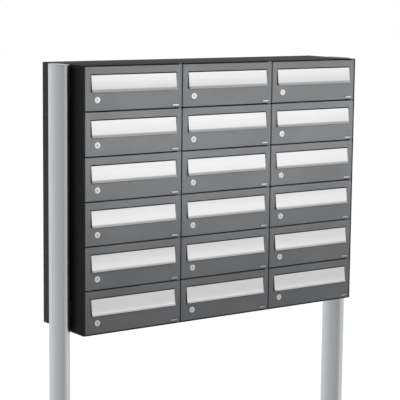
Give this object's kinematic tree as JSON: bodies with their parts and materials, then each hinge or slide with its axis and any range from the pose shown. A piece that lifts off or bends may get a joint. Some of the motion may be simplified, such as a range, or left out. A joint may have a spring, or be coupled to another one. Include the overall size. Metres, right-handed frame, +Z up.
{
  "type": "cluster mailbox unit",
  "caption": "Freestanding cluster mailbox unit: grey hinged doors with lifting aluminium letter flaps and cam locks, in one dark casing between two oval posts on base plates.",
  "frame": {"origin": "on the ground, under the middle of the unit's bounding box", "axes": "+Z up, the doors face -Y, +X to the right of a person in front of the unit"},
  "size_m": [1.384, 0.279, 1.6],
  "materials": {
    "casing_paint": "fine-textured black powder coat",
    "divider_paint": "fine-textured black powder coat",
    "door_paint": "satin grey powder coat",
    "flap_aluminium": "satin anodised",
    "lock_chrome": "polished",
    "post_aluminium": "satin anodised extrusion",
    "zinc_steel": "zinc plated",
    "stainless_steel": "plain",
    "buffer_rubber": "matte"
  },
  "bodies": {
    "cabinet": {"casing": "casing_paint", "dividers": "divider_paint", "hinge_rods": "zinc_steel", "lock_keeps": "zinc_steel", "posts": "post_aluminium", "fasteners": "stainless_steel"},
    "door_r1c1": {"door_r1c1": "door_paint"},
    "flap_r1c1": {"flap_r1c1": "flap_aluminium"},
    "lock_r1c1": {"lock_r1c1": "lock_chrome"},
    "door_r1c2": {"door_r1c2": "door_paint"},
    "flap_r1c2": {"flap_r1c2": "flap_aluminium"},
    "lock_r1c2": {"lock_r1c2": "lock_chrome"},
    "door_r1c3": {"door_r1c3": "door_paint"},
    "flap_r1c3": {"flap_r1c3": "flap_aluminium"},
    "lock_r1c3": {"lock_r1c3": "lock_chrome"},
    "door_r2c1": {"door_r2c1": "door_paint"},
    "flap_r2c1": {"flap_r2c1": "flap_aluminium"},
    "lock_r2c1": {"lock_r2c1": "lock_chrome"},
    "door_r2c2": {"door_r2c2": "door_paint"},
    "flap_r2c2": {"flap_r2c2": "flap_aluminium"},
    "lock_r2c2": {"lock_r2c2": "lock_chrome"},
    "door_r2c3": {"door_r2c3": "door_paint"},
    "flap_r2c3": {"flap_r2c3": "flap_aluminium"},
    "lock_r2c3": {"lock_r2c3": "lock_chrome"},
    "door_r3c1": {"door_r3c1": "door_paint"},
    "flap_r3c1": {"flap_r3c1": "flap_aluminium"},
    "lock_r3c1": {"lock_r3c1": "lock_chrome"},
    "door_r3c2": {"door_r3c2": "door_paint"},
    "flap_r3c2": {"flap_r3c2": "flap_aluminium"},
    "lock_r3c2": {"lock_r3c2": "lock_chrome"},
    "door_r3c3": {"door_r3c3": "door_paint"},
    "flap_r3c3": {"flap_r3c3": "flap_aluminium"},
    "lock_r3c3": {"lock_r3c3": "lock_chrome"},
    "door_r4c1": {"door_r4c1": "door_paint"},
    "flap_r4c1": {"flap_r4c1": "flap_aluminium"},
    "lock_r4c1": {"lock_r4c1": "lock_chrome"},
    "door_r4c2": {"door_r4c2": "door_paint"},
    "flap_r4c2": {"flap_r4c2": "flap_aluminium"},
    "lock_r4c2": {"lock_r4c2": "lock_chrome"},
    "door_r4c3": {"door_r4c3": "door_paint"},
    "flap_r4c3": {"flap_r4c3": "flap_aluminium"},
    "lock_r4c3": {"lock_r4c3": "lock_chrome"},
    "door_r5c1": {"door_r5c1": "door_paint"},
    "flap_r5c1": {"flap_r5c1": "flap_aluminium"},
    "lock_r5c1": {"lock_r5c1": "lock_chrome"},
    "door_r5c2": {"door_r5c2": "door_paint"},
    "flap_r5c2": {"flap_r5c2": "flap_aluminium"},
    "lock_r5c2": {"lock_r5c2": "lock_chrome"},
    "door_r5c3": {"door_r5c3": "door_paint"},
    "flap_r5c3": {"flap_r5c3": "flap_aluminium"},
    "lock_r5c3": {"lock_r5c3": "lock_chrome"},
    "door_r6c1": {"door_r6c1": "door_paint"},
    "flap_r6c1": {"flap_r6c1": "flap_aluminium"},
    "lock_r6c1": {"lock_r6c1": "lock_chrome"},
    "door_r6c2": {"door_r6c2": "door_paint"},
    "flap_r6c2": {"flap_r6c2": "flap_aluminium"},
    "lock_r6c2": {"lock_r6c2": "lock_chrome"},
    "door_r6c3": {"door_r6c3": "door_paint"},
    "flap_r6c3": {"flap_r6c3": "flap_aluminium"},
    "lock_r6c3": {"lock_r6c3": "lock_chrome"}
  },
  "joints": [
    {"name": "door_r1c1_hinge", "type": "hinge", "parent": "cabinet", "child": "door_r1c1", "pos_m": [-0.2025, -0.1255, 1.523], "axis": [0, 0, 1], "range_deg": [0, 110]},
    {"name": "door_r1c2_hinge", "type": "hinge", "parent": "cabinet", "child": "door_r1c2", "pos_m": [0.1875, -0.1255, 1.523], "axis": [0, 0, 1], "range_deg": [0, 110]},
    {"name": "door_r1c3_hinge", "type": "hinge", "parent": "cabinet", "child": "door_r1c3", "pos_m": [0.5775, -0.1255, 1.523], "axis": [0, 0, 1], "range_deg": [0, 110]},
    {"name": "door_r2c1_hinge", "type": "hinge", "parent": "cabinet", "child": "door_r2c1", "pos_m": [-0.2025, -0.1255, 1.373], "axis": [0, 0, 1], "range_deg": [0, 110]},
    {"name": "door_r2c2_hinge", "type": "hinge", "parent": "cabinet", "child": "door_r2c2", "pos_m": [0.1875, -0.1255, 1.373], "axis": [0, 0, 1], "range_deg": [0, 110]},
    {"name": "door_r2c3_hinge", "type": "hinge", "parent": "cabinet", "child": "door_r2c3", "pos_m": [0.5775, -0.1255, 1.373], "axis": [0, 0, 1], "range_deg": [0, 110]},
    {"name": "door_r3c1_hinge", "type": "hinge", "parent": "cabinet", "child": "door_r3c1", "pos_m": [-0.2025, -0.1255, 1.223], "axis": [0, 0, 1], "range_deg": [0, 110]},
    {"name": "door_r3c2_hinge", "type": "hinge", "parent": "cabinet", "child": "door_r3c2", "pos_m": [0.1875, -0.1255, 1.223], "axis": [0, 0, 1], "range_deg": [0, 110]},
    {"name": "door_r3c3_hinge", "type": "hinge", "parent": "cabinet", "child": "door_r3c3", "pos_m": [0.5775, -0.1255, 1.223], "axis": [0, 0, 1], "range_deg": [0, 110]},
    {"name": "door_r4c1_hinge", "type": "hinge", "parent": "cabinet", "child": "door_r4c1", "pos_m": [-0.2025, -0.1255, 1.073], "axis": [0, 0, 1], "range_deg": [0, 110]},
    {"name": "door_r4c2_hinge", "type": "hinge", "parent": "cabinet", "child": "door_r4c2", "pos_m": [0.1875, -0.1255, 1.073], "axis": [0, 0, 1], "range_deg": [0, 110]},
    {"name": "door_r4c3_hinge", "type": "hinge", "parent": "cabinet", "child": "door_r4c3", "pos_m": [0.5775, -0.1255, 1.073], "axis": [0, 0, 1], "range_deg": [0, 110]},
    {"name": "door_r5c1_hinge", "type": "hinge", "parent": "cabinet", "child": "door_r5c1", "pos_m": [-0.2025, -0.1255, 0.923], "axis": [0, 0, 1], "range_deg": [0, 110]},
    {"name": "door_r5c2_hinge", "type": "hinge", "parent": "cabinet", "child": "door_r5c2", "pos_m": [0.1875, -0.1255, 0.923], "axis": [0, 0, 1], "range_deg": [0, 110]},
    {"name": "door_r5c3_hinge", "type": "hinge", "parent": "cabinet", "child": "door_r5c3", "pos_m": [0.5775, -0.1255, 0.923], "axis": [0, 0, 1], "range_deg": [0, 110]},
    {"name": "door_r6c1_hinge", "type": "hinge", "parent": "cabinet", "child": "door_r6c1", "pos_m": [-0.2025, -0.1255, 0.773], "axis": [0, 0, 1], "range_deg": [0, 110]},
    {"name": "door_r6c2_hinge", "type": "hinge", "parent": "cabinet", "child": "door_r6c2", "pos_m": [0.1875, -0.1255, 0.773], "axis": [0, 0, 1], "range_deg": [0, 110]},
    {"name": "door_r6c3_hinge", "type": "hinge", "parent": "cabinet", "child": "door_r6c3", "pos_m": [0.5775, -0.1255, 0.773], "axis": [0, 0, 1], "range_deg": [0, 110]},
    {"name": "flap_r1c1_hinge", "type": "hinge", "parent": "door_r1c1", "child": "flap_r1c1", "pos_m": [-0.39, -0.1265, 1.5648], "axis": [-1, 0, 0], "range_deg": [0, 75]},
    {"name": "flap_r1c2_hinge", "type": "hinge", "parent": "door_r1c2", "child": "flap_r1c2", "pos_m": [0, -0.1265, 1.5648], "axis": [-1, 0, 0], "range_deg": [0, 75]},
    {"name": "flap_r1c3_hinge", "type": "hinge", "parent": "door_r1c3", "child": "flap_r1c3", "pos_m": [0.39, -0.1265, 1.5648], "axis": [-1, 0, 0], "range_deg": [0, 75]},
    {"name": "flap_r2c1_hinge", "type": "hinge", "parent": "door_r2c1", "child": "flap_r2c1", "pos_m": [-0.39, -0.1265, 1.4148], "axis": [-1, 0, 0], "range_deg": [0, 75]},
    {"name": "flap_r2c2_hinge", "type": "hinge", "parent": "door_r2c2", "child": "flap_r2c2", "pos_m": [0, -0.1265, 1.4148], "axis": [-1, 0, 0], "range_deg": [0, 75]},
    {"name": "flap_r2c3_hinge", "type": "hinge", "parent": "door_r2c3", "child": "flap_r2c3", "pos_m": [0.39, -0.1265, 1.4148], "axis": [-1, 0, 0], "range_deg": [0, 75]},
    {"name": "flap_r3c1_hinge", "type": "hinge", "parent": "door_r3c1", "child": "flap_r3c1", "pos_m": [-0.39, -0.1265, 1.2648], "axis": [-1, 0, 0], "range_deg": [0, 75]},
    {"name": "flap_r3c2_hinge", "type": "hinge", "parent": "door_r3c2", "child": "flap_r3c2", "pos_m": [0, -0.1265, 1.2648], "axis": [-1, 0, 0], "range_deg": [0, 75]},
    {"name": "flap_r3c3_hinge", "type": "hinge", "parent": "door_r3c3", "child": "flap_r3c3", "pos_m": [0.39, -0.1265, 1.2648], "axis": [-1, 0, 0], "range_deg": [0, 75]},
    {"name": "flap_r4c1_hinge", "type": "hinge", "parent": "door_r4c1", "child": "flap_r4c1", "pos_m": [-0.39, -0.1265, 1.1148], "axis": [-1, 0, 0], "range_deg": [0, 75]},
    {"name": "flap_r4c2_hinge", "type": "hinge", "parent": "door_r4c2", "child": "flap_r4c2", "pos_m": [0, -0.1265, 1.1148], "axis": [-1, 0, 0], "range_deg": [0, 75]},
    {"name": "flap_r4c3_hinge", "type": "hinge", "parent": "door_r4c3", "child": "flap_r4c3", "pos_m": [0.39, -0.1265, 1.1148], "axis": [-1, 0, 0], "range_deg": [0, 75]},
    {"name": "flap_r5c1_hinge", "type": "hinge", "parent": "door_r5c1", "child": "flap_r5c1", "pos_m": [-0.39, -0.1265, 0.9648], "axis": [-1, 0, 0], "range_deg": [0, 75]},
    {"name": "flap_r5c2_hinge", "type": "hinge", "parent": "door_r5c2", "child": "flap_r5c2", "pos_m": [0, -0.1265, 0.9648], "axis": [-1, 0, 0], "range_deg": [0, 75]},
    {"name": "flap_r5c3_hinge", "type": "hinge", "parent": "door_r5c3", "child": "flap_r5c3", "pos_m": [0.39, -0.1265, 0.9648], "axis": [-1, 0, 0], "range_deg": [0, 75]},
    {"name": "flap_r6c1_hinge", "type": "hinge", "parent": "door_r6c1", "child": "flap_r6c1", "pos_m": [-0.39, -0.1265, 0.8148], "axis": [-1, 0, 0], "range_deg": [0, 75]},
    {"name": "flap_r6c2_hinge", "type": "hinge", "parent": "door_r6c2", "child": "flap_r6c2", "pos_m": [0, -0.1265, 0.8148], "axis": [-1, 0, 0], "range_deg": [0, 75]},
    {"name": "flap_r6c3_hinge", "type": "hinge", "parent": "door_r6c3", "child": "flap_r6c3", "pos_m": [0.39, -0.1265, 0.8148], "axis": [-1, 0, 0], "range_deg": [0, 75]},
    {"name": "lock_r1c1_turn", "type": "hinge", "parent": "door_r1c1", "child": "lock_r1c1", "pos_m": [-0.536, -0.1205, 1.4865], "axis": [0, 1, 0], "range_deg": [0, 90]},
    {"name": "lock_r1c2_turn", "type": "hinge", "parent": "door_r1c2", "child": "lock_r1c2", "pos_m": [-0.146, -0.1205, 1.4865], "axis": [0, 1, 0], "range_deg": [0, 90]},
    {"name": "lock_r1c3_turn", "type": "hinge", "parent": "door_r1c3", "child": "lock_r1c3", "pos_m": [0.244, -0.1205, 1.4865], "axis": [0, 1, 0], "range_deg": [0, 90]},
    {"name": "lock_r2c1_turn", "type": "hinge", "parent": "door_r2c1", "child": "lock_r2c1", "pos_m": [-0.536, -0.1205, 1.3365], "axis": [0, 1, 0], "range_deg": [0, 90]},
    {"name": "lock_r2c2_turn", "type": "hinge", "parent": "door_r2c2", "child": "lock_r2c2", "pos_m": [-0.146, -0.1205, 1.3365], "axis": [0, 1, 0], "range_deg": [0, 90]},
    {"name": "lock_r2c3_turn", "type": "hinge", "parent": "door_r2c3", "child": "lock_r2c3", "pos_m": [0.244, -0.1205, 1.3365], "axis": [0, 1, 0], "range_deg": [0, 90]},
    {"name": "lock_r3c1_turn", "type": "hinge", "parent": "door_r3c1", "child": "lock_r3c1", "pos_m": [-0.536, -0.1205, 1.1865], "axis": [0, 1, 0], "range_deg": [0, 90]},
    {"name": "lock_r3c2_turn", "type": "hinge", "parent": "door_r3c2", "child": "lock_r3c2", "pos_m": [-0.146, -0.1205, 1.1865], "axis": [0, 1, 0], "range_deg": [0, 90]},
    {"name": "lock_r3c3_turn", "type": "hinge", "parent": "door_r3c3", "child": "lock_r3c3", "pos_m": [0.244, -0.1205, 1.1865], "axis": [0, 1, 0], "range_deg": [0, 90]},
    {"name": "lock_r4c1_turn", "type": "hinge", "parent": "door_r4c1", "child": "lock_r4c1", "pos_m": [-0.536, -0.1205, 1.0365], "axis": [0, 1, 0], "range_deg": [0, 90]},
    {"name": "lock_r4c2_turn", "type": "hinge", "parent": "door_r4c2", "child": "lock_r4c2", "pos_m": [-0.146, -0.1205, 1.0365], "axis": [0, 1, 0], "range_deg": [0, 90]},
    {"name": "lock_r4c3_turn", "type": "hinge", "parent": "door_r4c3", "child": "lock_r4c3", "pos_m": [0.244, -0.1205, 1.0365], "axis": [0, 1, 0], "range_deg": [0, 90]},
    {"name": "lock_r5c1_turn", "type": "hinge", "parent": "door_r5c1", "child": "lock_r5c1", "pos_m": [-0.536, -0.1205, 0.8865], "axis": [0, 1, 0], "range_deg": [0, 90]},
    {"name": "lock_r5c2_turn", "type": "hinge", "parent": "door_r5c2", "child": "lock_r5c2", "pos_m": [-0.146, -0.1205, 0.8865], "axis": [0, 1, 0], "range_deg": [0, 90]},
    {"name": "lock_r5c3_turn", "type": "hinge", "parent": "door_r5c3", "child": "lock_r5c3", "pos_m": [0.244, -0.1205, 0.8865], "axis": [0, 1, 0], "range_deg": [0, 90]},
    {"name": "lock_r6c1_turn", "type": "hinge", "parent": "door_r6c1", "child": "lock_r6c1", "pos_m": [-0.536, -0.1205, 0.7365], "axis": [0, 1, 0], "range_deg": [0, 90]},
    {"name": "lock_r6c2_turn", "type": "hinge", "parent": "door_r6c2", "child": "lock_r6c2", "pos_m": [-0.146, -0.1205, 0.7365], "axis": [0, 1, 0], "range_deg": [0, 90]},
    {"name": "lock_r6c3_turn", "type": "hinge", "parent": "door_r6c3", "child": "lock_r6c3", "pos_m": [0.244, -0.1205, 0.7365], "axis": [0, 1, 0], "range_deg": [0, 90]}
  ]
}
